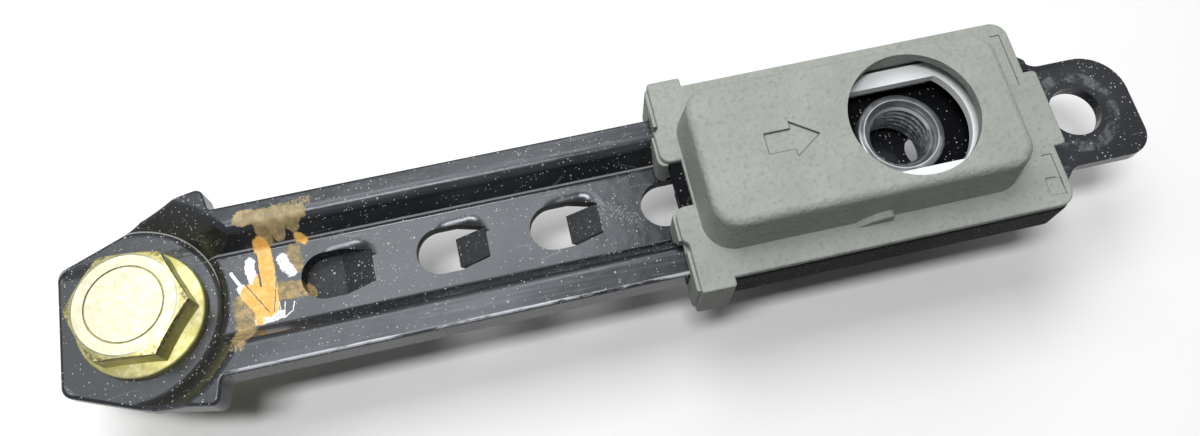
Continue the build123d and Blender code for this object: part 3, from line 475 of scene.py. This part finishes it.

# Painted highlights: a broken bright line on the near outer corner and a thin one along
# the far bend of the web, where these edges catch the light.
highlight_breaks = rail_coat.ramp(rail_coat.noise(420.0, 4.0, 0.7, (0.25, 1.0, 1.0)), 0.42, 0.56)
on_rail = rail_coat.band(rail_coat.x, 62.0, 46.0, 8.0)
near_corner_highlight = rail_coat.all_of(
    rail_coat.band(rail_coat.y, NEAR_CORNER_Y, 0.16, 0.16), highlight_breaks, on_rail
)
far_bend_highlight = rail_coat.all_of(rail_coat.band(rail_coat.y, FAR_BEND_Y, 0.07, 0.08), on_rail)
painted_highlight_lines = rail_coat.most_of(near_corner_highlight, rail_coat.math("MULTIPLY", far_bend_highlight, 0.8))
# Painted highlights: pale grey laid into the colour on the near corner and the far bend.
rail_coat.paint(painted_highlight_lines, (0.42, 0.43, 0.46))

# Pale scuffs on the web between the windows and on the pad, and a ring worn round
# the hole in the tab.
scuffs = daubs(
    ((76.5, 1.8), (82.0, -1.2), 1.7, 0.5, 0.5, 0.55),
    ((33.5, 1.4), (37.5, -1.0), 2.2, 0.6, 0.6, 0.57),
    ((71.5, 1.2), (75.0, -0.8), 1.9, 0.5, 0.5, 0.56),
    ((52.5, 0.6), (55.5, -1.4), 1.3, 0.5, 0.5, 0.60),
    ((-9.0, -14.0), (-5.0, -15.6), 1.4, 0.5, 0.5, 0.55),
)
rail_coat.paint(scuffs, (0.32, 0.32, 0.33), 0.55)
tab_hole = rail_coat.ring(TAB_HOLE_X)
ring_grain = rail_coat.ramp(rail_coat.noise(500.0, 4.0, 0.7), 0.40, 0.62)
ring_wear = rail_coat.all_of(rail_coat.band(tab_hole, TAB_WEAR_R, 0.7, 0.5), ring_grain)
rail_coat.paint(ring_wear, (0.20, 0.21, 0.22), 0.5)

# A thin pale arc on the far side of the seat's foot is a painted highlight, where the
# foot catches the light; the pocket, the tongues and the cut edges of the windows are dull and
# dusty.
seat_foot_highlight = rail_coat.all_of(
    rail_coat.band(rail_coat.ring(SEAT_X), SEAT_FOOT_R, 0.05, 0.10),
    rail_coat.ramp(rail_coat.y, 1.0, 5.0),
)
# Painted highlight: a pale arc laid into the colour where the seat's foot catches the light.
rail_coat.paint(seat_foot_highlight, (0.40, 0.41, 0.43), 0.8)
sunk = rail_coat.all_of(
    rail_coat.ramp(rail_coat.z, WEB_TOP - 0.15, WEB_TOP - 0.05, 1.0, 0.0),
    rail_coat.band(rail_coat.y, 0.0, 4.2, 0.2),
    rail_coat.band(rail_coat.x, 58.0, 34.0, 0.5),
)
sunk_grain = rail_coat.ramp(rail_coat.noise(1500.0, 4.0, 0.7), 0.45, 0.7)
rail_coat.paint(sunk, rail_coat.mix(sunk_grain, (0.010, 0.011, 0.012), (0.035, 0.036, 0.038)))
rail_coat.roughen(sunk, 0.4)

# Paint daubs: ochre over the far rib, orange strokes down the web, olive at its
# near foot and separate white brush marks with thin hairs.
ochre = daubs(
    ((18.6, 11.2), (28.0, 10.6), 1.5, 0.3, 0.35, 0.0),
    ((21.6, 10.4), (21.8, 8.0), 1.2, 0.3, 0.15, 0.0),
    ((26.6, 10.6), (26.6, 9.4), 1.5, 0.3, 0.3, 0.0),
    ((24.0, 11.0), (24.0, 8.8), 1.6, 0.3, 0.2, 0.0),
    ((25.5, 12.0), (29.8, 12.4), 0.9, 0.3, 0.5, 0.50),
)
olive = daubs(
    ((16.6, -2.0), (16.9, -8.0), 1.8, 0.4, 0.4, 0.0),
    ((16.2, -7.5), (16.4, -9.6), 1.5, 0.4, 0.5, 0.46),
    ((22.6, -1.0), (26.4, -1.4), 1.7, 0.3, 0.25, 0.0),
    ((25.6, 5.6), (25.8, 2.6), 1.3, 0.3, 0.3, 0.40),
)
white_marks = daubs(
    ((18.3, 4.9), (18.1, 3.8), 0.9, 0.2, 0.2, 0.0),
    ((18.1, 3.8), (18.6, 1.6), 0.9, 0.2, 0.2, 0.0),
    ((23.6, 4.6), (23.9, 3.4), 1.0, 0.25, 0.3, 0.40),
    ((23.9, 3.4), (24.8, 1.8), 1.0, 0.25, 0.3, 0.43),
    ((15.1, 3.6), (17.2, -0.4), 0.35, 0.12, 0.08, 0.0),
    ((16.6, 0.6), (18.6, -1.2), 0.9, 0.2, 0.15, 0.0),
    ((19.0, -5.4), (22.4, -5.0), 0.95, 0.25, 0.3, 0.42),
    ((21.5, -3.3), (22.0, -5.2), 0.15, 0.1, 0.1, 0.0),
    ((22.4, -3.0), (22.6, -5.4), 0.14, 0.1, 0.1, 0.0),
    ((23.3, -3.1), (22.9, -5.6), 0.13, 0.1, 0.1, 0.0),
    ((24.8, -3.4), (24.4, -4.8), 0.14, 0.1, 0.1, 0.0),
    ((24.4, -4.8), (23.0, -5.7), 0.14, 0.1, 0.1, 0.0),
)
orange = daubs(
    ((20.6, 6.9), (20.9, 2.4), 1.5, 0.3, 0.15, 0.0),
    ((20.4, 1.0), (20.4, -3.2), 2.1, 0.3, 0.12, 0.0),
    ((17.8, -0.4), (19.4, -2.8), 1.7, 0.3, 0.12, 0.0),
    ((18.8, -2.4), (19.0, -5.6), 0.8, 0.3, 0.12, 0.0),
    ((26.8, 7.3), (27.6, 6.9), 0.8, 0.3, 0.2, 0.0),
)
daub_dark = rail_coat.ramp(rail_coat.noise(700.0, 4.0, 0.7), 0.42, 0.62)
rail_coat.paint(ochre, rail_coat.mix(daub_dark, (0.27, 0.21, 0.10), (0.44, 0.33, 0.17)))
rail_coat.paint(olive, rail_coat.mix(daub_dark, (0.20, 0.16, 0.07), (0.42, 0.30, 0.13)))
rail_coat.paint(white_marks, (0.88, 0.90, 0.92))
rail_coat.paint(orange, rail_coat.mix(daub_dark, (0.85, 0.44, 0.08), (0.90, 0.58, 0.18)))
dark_hairs = daubs(
    ((19.4, 6.2), (19.7, 0.4), 0.22, 0.12, 0.1, 0.0),
    ((17.2, 1.2), (20.6, -4.2), 0.14, 0.1, 0.1, 0.0),
    ((22.4, 1.6), (21.4, -4.4), 0.13, 0.1, 0.1, 0.0),
)
rail_coat.paint(dark_hairs, (0.05, 0.055, 0.09))
rail_coat.roughen(rail_coat.most_of(ochre, olive, white_marks, orange), 0.3)

# Drawn metal, as bump with heights in mm: the far rib's crest is rounder than a
# plain bend, and the web is pulled down beside each tongue on its far side.
CREST_FALL = -0.74
PULL_DEPTH = -1.7
crest_fall = rail_coat.ramp(rail_coat.y, 8.5, 11.5, CREST_FALL, 0.0)
pulls = rail_coat.most_of(
    *[
        rail_coat.stroke((left + 6.0, 1.8), (left + 9.4, 2.0), 3.9, fade=True, ragged=0.0)
        for left in WINDOW_LEFT
    ]
)
on_web = rail_coat.all_of(
    rail_coat.ramp(rail_coat.y, 1.6, 2.2), rail_coat.ramp(rail_coat.z, WEB_TOP - 0.2, WEB_TOP - 0.1)
)
pull_fall = rail_coat.math("MULTIPLY", rail_coat.math("POWER", pulls, 2.0), PULL_DEPTH)
drawn = rail_coat.math("ADD", crest_fall, rail_coat.math("MULTIPLY", pull_fall, on_web))
rail_coat.wave = rail_coat.bump(drawn, 1.0 / MM_PER_M, 1.0, rail_coat.wave)
close_coat(rail_coat)
dress("rail", rail_coat)

# Carriage bracket: the same black coat, but dull, and darker than the rail's as painted shade
# for its shaded side faces. It is folded round the rail with its flat plate under the cover.
shaded_bracket_coat = black_coat("bracket_black_coat_painted_shade", 0.5, 0.02, 0.45, 0.6)
# Painted shade: the coat's colour is pulled darker than the rail's so its shaded sides read black.
shaded_bracket_coat.paint(0.5, (0.004, 0.004, 0.005))
close_coat(shaded_bracket_coat)
dress("slider_bracket", shaded_bracket_coat)

# Lower bolt: zinc plate with a yellow passivation, pale gold on the turned top
# and olive on the flats, with a rolled thread below the shoulder.
THREAD_PITCH = 1.27
SHANK_THREAD_TOP = -3.6
HEX_TOP = 10.2
HEX_GROOVE_R = 6.25
thread, entry, leave = new_group("screw_thread", {"Pitch": THREAD_PITCH})
axes = wire(thread, "ShaderNodeSeparateXYZ", None, entry.outputs["Place"])
round_part = wire(thread, "ShaderNodeMath", "ARCTAN2", axes.outputs[1], axes.outputs[0])
turns = wire(thread, "ShaderNodeMath", "DIVIDE", round_part.outputs[0], 2.0 * math.pi)
height = wire(thread, "ShaderNodeMath", "MULTIPLY", axes.outputs[2], MM_PER_M)
steps = wire(thread, "ShaderNodeMath", "DIVIDE", height.outputs[0], entry.outputs["Pitch"])
phase = wire(thread, "ShaderNodeMath", "SUBTRACT", steps.outputs[0], turns.outputs[0])
saw = wire(thread, "ShaderNodeMath", "PINGPONG", phase.outputs[0], 0.5)
thread.links.new(saw.outputs[0], leave.inputs["Mask"])


zinc = Finish("yellow_zinc", rough=0.42, metal=1.0, color=(0.5, 0.46, 0.27))
tint = zinc.noise(900.0, 5.0, 0.7)
patina = zinc.noise(160.0, 3.0, 0.6)
zinc.body = zinc.mix(zinc.ramp(tint, 0.35, 0.7), (0.52, 0.49, 0.20), (0.74, 0.70, 0.42))
zinc.paint(zinc.ramp(patina, 0.42, 0.66), (0.52, 0.49, 0.13), 0.5)
on_hex = zinc.ramp(zinc.z, HEX_TOP - 0.15, HEX_TOP - 0.05)
hex_tint = zinc.mix(zinc.ramp(tint, 0.4, 0.7), (0.38, 0.375, 0.27), (0.46, 0.455, 0.35))
zinc.paint(on_hex, hex_tint)
bolt_ring = zinc.ring(0.0)
bevel_band = zinc.all_of(zinc.ramp(bolt_ring, 7.9, 8.3), zinc.band(zinc.z, 9.3, 0.55, 0.25))
brown = zinc.all_of(bevel_band, zinc.ramp(zinc.noise(1500.0, 4.0, 0.7), 0.44, 0.56))
zinc.paint(brown, (0.13, 0.09, 0.04), 0.75)
groove = zinc.all_of(
    zinc.band(bolt_ring, HEX_GROOVE_R, 0.12, 0.08), zinc.ramp(zinc.z, 9.5, 9.8)
)
zinc.paint(groove, (0.10, 0.09, 0.04), 0.8)
zinc.set("Base Color", zinc.body)
zinc.set("Roughness", zinc.ramp(zinc.noise(700.0, 3.0), 0.3, 0.7, 0.34, 0.50))
on_shank = zinc.ramp(zinc.z, SHANK_THREAD_TOP - 0.6, SHANK_THREAD_TOP, 1.0, 0.0)
rolled = zinc.all_of(zinc.group(thread, Pitch=THREAD_PITCH), on_shank)
dents = zinc.bump(zinc.noise(420.0, 4.0, 0.6), 0.00005, 0.6)
zinc.set("Normal", zinc.bump(rolled, 0.0012, 1.0, dents))
dress("lower_bolt", zinc)

# Bolt retainer: a thin washer of natural nylon, a little yellowed, that holds the
# lower bolt under the pad.
nylon = Finish("natural_nylon", rough=0.6, color=(0.7, 0.68, 0.6))
yellowing = nylon.noise(180.0, 4.0, 0.6)
nylon.cloud(yellowing, 0.35, 0.7, ((0.70, 0.68, 0.60), (0.60, 0.56, 0.44)), 0.5, 0.7)
nylon.set("Normal", nylon.bump(nylon.noise(1500.0, 3.0), 0.00003, 0.5))
dress("bolt_retainer", nylon)

# Cover and liners: grey-green moulded plastic with a fine leathery grain, mottled,
# with pale flecks. The moulded arrow's outline is painted shade, thin dark lines in its colour
# where the arrow's edges stand in shade. A small square is a thin dark line in its colour too.
ARROW = [
    (103.2, 1.75),
    (107.5, 1.75),
    (107.5, 3.0),
    (111.8, 0.0),
    (107.5, -3.0),
    (107.5, -1.75),
    (103.2, -1.75),
]
SQUARE = [(148.0, -12.4), (147.8, -15.2), (150.5, -15.3), (150.6, -12.5)]
FLANGE_Z = 12.2

plastic = Finish("grey_green_plastic", rough=0.55, color=(0.29, 0.31, 0.28))


def closed_line(corners, half, soft):
    pairs = zip(corners, corners[1:] + corners[:1])
    return plastic.most_of(*[plastic.stroke(a, b, half, soft=soft, ragged=0.02) for a, b in pairs])


grain = plastic.noise(1250.0, 4.0, 0.62)
mottle = plastic.noise(140.0, 5.0, 0.65)
flecks = plastic.group(dust, Scale=900.0, Size=0.16, Amount=0.35)
plastic.body = plastic.mix(
    plastic.ramp(mottle, 0.3, 0.7), (0.325, 0.346, 0.318), (0.372, 0.392, 0.362)
)
plastic.paint(plastic.ramp(grain, 0.50, 0.74), (0.28, 0.295, 0.27))
plastic.paint(flecks, (0.58, 0.59, 0.56), 0.35)
on_block = plastic.ramp(plastic.z, 20.2, 20.4)
on_flange = plastic.band(plastic.z, FLANGE_Z, 0.3, 0.1)
arrow_edge_shade = plastic.all_of(closed_line(ARROW, 0.17, 0.12), on_block)
square_line = plastic.all_of(closed_line(SQUARE, 0.10, 0.08), on_flange)
# Painted shade: dark lines along the arrow's outline stand in for the shade at its edges.
plastic.paint(arrow_edge_shade, (0.06, 0.065, 0.055), 0.75)
plastic.paint(square_line, (0.09, 0.095, 0.085), 0.55)
plastic.set("Base Color", plastic.body)
plastic.shader.inputs["Specular IOR Level"].default_value = 0.15
plastic.set("Roughness", plastic.ramp(grain, 0.3, 0.7, 0.46, 0.66))
plastic.set("Normal", plastic.bump(grain, 0.00035, 0.7))
for name in ("slider_cover", "guide_liner_far", "guide_liner_near"):
    dress(name, plastic)

# Release slide: white moulded plastic with a slight sheen and a few grey smudges.
white = Finish("white_plastic", rough=0.35, color=(0.80, 0.82, 0.84))
smudge = white.noise(220.0, 4.0, 0.6)
white.cloud(smudge, 0.55, 0.8, ((0.84, 0.87, 0.88), (0.66, 0.67, 0.66)), 0.3, 0.45)
white.set("Normal", white.bump(white.noise(900.0, 3.0), 0.00003, 0.4))
dress("release_slide", white)

# Anchor nut: turned steel with a dark phosphate. Pale rings on its rims are painted
# highlights, and a dark ring in its step is painted shade.
NUT_X = 127.3
NUT_STEP_R = 5.6

phosphate = Finish("dark_phosphate", rough=0.36, metal=0.85, color=(0.16, 0.17, 0.18))
rub = phosphate.noise(320.0, 5.0, 0.65)
phosphate.body = phosphate.mix(
    phosphate.ramp(rub, 0.4, 0.75), (0.13, 0.14, 0.15), (0.30, 0.31, 0.32)
)
nut_ring = phosphate.ring(NUT_X)
# Painted highlights: pale rings on the rims stand in for light caught by the edges.
rim_highlights = phosphate.most_of(
    phosphate.band(nut_ring, 5.15, 0.14, 0.12),
    phosphate.band(nut_ring, 6.05, 0.10, 0.10),
    phosphate.band(nut_ring, 7.0, 0.12, 0.12),
)
# Painted shade: a dark ring laid in the step round the bore.
step_shade = phosphate.all_of(
    phosphate.band(nut_ring, NUT_STEP_R, 0.22, 0.1), phosphate.ramp(phosphate.z, 12.0, 13.0)
)
phosphate.paint(step_shade, (0.03, 0.03, 0.035), 0.8)
phosphate.paint(rim_highlights, (0.62, 0.64, 0.66), 0.7)
phosphate.set("Base Color", phosphate.body)
phosphate.set("Roughness", phosphate.ramp(rub, 0.3, 0.7, 0.30, 0.46))
phosphate.set("Normal", phosphate.bump(phosphate.noise(900.0, 4.0), 0.00003, 0.5))
dress("anchor_nut", phosphate)

# Nut thread: a triangular tooth spun up the bore as a helix, 20 turns to the inch,
# in steel that the bolt has rubbed bright. It rides with the carriage.
THREAD_ROOT = 4.98
THREAD_CREST = 4.66
THREAD_BASE_HALF = 0.42
THREAD_START = 6.0
THREAD_TURNS = 5
THREAD_STEPS = 36
MERGE_WITHIN = 0.000001

nut_thread_mesh = bpy.data.meshes.new("nut_thread")
shape = bmesh.new()
profile = [
    (THREAD_ROOT, -THREAD_BASE_HALF),
    (THREAD_CREST, 0.0),
    (THREAD_ROOT, THREAD_BASE_HALF),
]
tooth = [
    shape.verts.new(((NUT_X + radius) / MM_PER_M, 0.0, (THREAD_START + rise) / MM_PER_M))
    for radius, rise in profile
]
first = shape.faces.new(tooth)
whole_steps = THREAD_STEPS * THREAD_TURNS
bmesh.ops.spin(
    shape,
    geom=[first, *first.edges, *first.verts],
    cent=(NUT_X / MM_PER_M, 0.0, 0.0),
    axis=(0.0, 0.0, 1.0),
    dvec=(0.0, 0.0, THREAD_PITCH * THREAD_TURNS / whole_steps / MM_PER_M),
    angle=2.0 * math.pi * THREAD_TURNS,
    steps=whole_steps,
    use_merge=False,
    use_duplicate=False,
)
bmesh.ops.remove_doubles(shape, verts=shape.verts, dist=MERGE_WITHIN)
bmesh.ops.recalc_face_normals(shape, faces=shape.faces)
shape.to_mesh(nut_thread_mesh)
shape.free()
nut_thread = bpy.data.objects.new("nut_thread", nut_thread_mesh)
bpy.context.collection.objects.link(nut_thread)
bright = Finish("bright_thread", rough=0.3, metal=1.0, color=(0.34, 0.35, 0.36))
bright_rub = bright.noise(900.0, 4.0, 0.6)
bright.cloud(bright_rub, 0.4, 0.7, ((0.22, 0.23, 0.24), (0.48, 0.49, 0.50)), 0.25, 0.45)
nut_thread_mesh.materials.append(bright.mat)
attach(nut_thread, "carriage")

# Latch: a phosphated steel plunger that drops into the rail's windows.
latch_steel = Finish("latch_phosphate", rough=0.4, metal=0.9, color=(0.10, 0.10, 0.105))
latch_rub = latch_steel.noise(400.0, 5.0, 0.65)
latch_steel.cloud(latch_rub, 0.45, 0.75, ((0.07, 0.07, 0.075), (0.28, 0.28, 0.29)), 0.32, 0.5)
latch_steel.set("Normal", latch_steel.bump(latch_steel.noise(1100.0, 3.0), 0.00002, 0.5))
dress("latch", latch_steel)

# Latch spring: a coil of bright drawn wire that presses the latch down.
spring_wire = Finish("spring_wire", rough=0.3, metal=1.0, color=(0.45, 0.45, 0.46))
drawn_marks = spring_wire.noise(1200.0, 3.0, 0.6)
spring_wire.cloud(drawn_marks, 0.4, 0.7, ((0.40, 0.40, 0.41), (0.58, 0.58, 0.59)), 0.22, 0.38)
spring_wire.set("Normal", spring_wire.bump(drawn_marks, 0.00001, 0.5))
dress("latch_spring", spring_wire)
